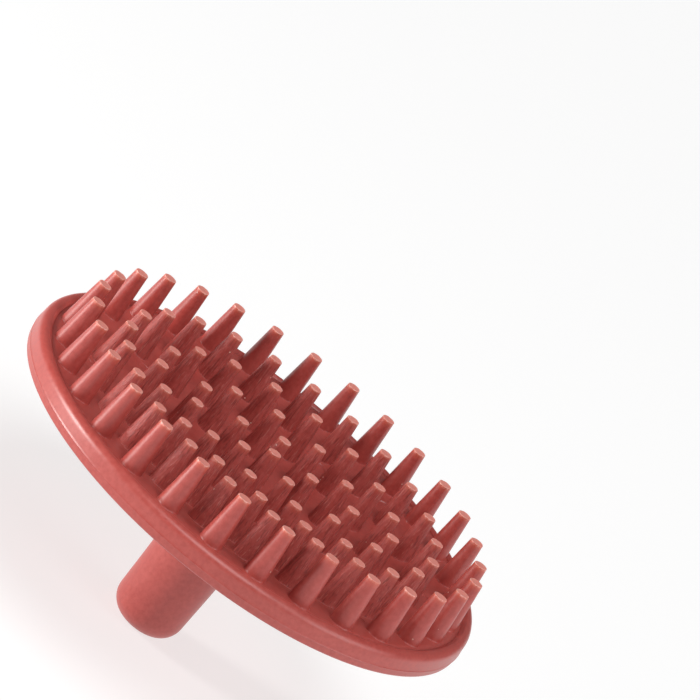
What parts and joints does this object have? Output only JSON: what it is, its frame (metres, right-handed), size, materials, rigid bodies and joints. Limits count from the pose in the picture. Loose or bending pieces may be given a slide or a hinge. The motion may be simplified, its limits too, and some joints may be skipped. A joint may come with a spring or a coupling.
{
  "type": "curry comb",
  "caption": "Round rubber curry comb: a shallow saucer-shaped disc with a beaded rim, concentric rings of tapered teeth on one side and a round peg handle on the other.",
  "frame": {"origin": "centre of the peg's end face, the lowest point of the comb with its teeth up", "axes": "+Z along the comb's axis from the peg towards the teeth; +X through the first tooth of every ring"},
  "size_m": [0.127, 0.127, 0.0625],
  "materials": {
    "terracotta_rubber": "satin moulded rubber, terracotta red"
  },
  "bodies": {
    "root": {"back_plate": "terracotta_rubber", "rim_bead": "terracotta_rubber", "handle_peg": "terracotta_rubber", "centre_tooth": "terracotta_rubber", "tooth_ring_1": "terracotta_rubber", "tooth_ring_2": "terracotta_rubber", "tooth_ring_3": "terracotta_rubber", "tooth_ring_4": "terracotta_rubber", "tooth_ring_5": "terracotta_rubber"}
  },
  "joints": []
}
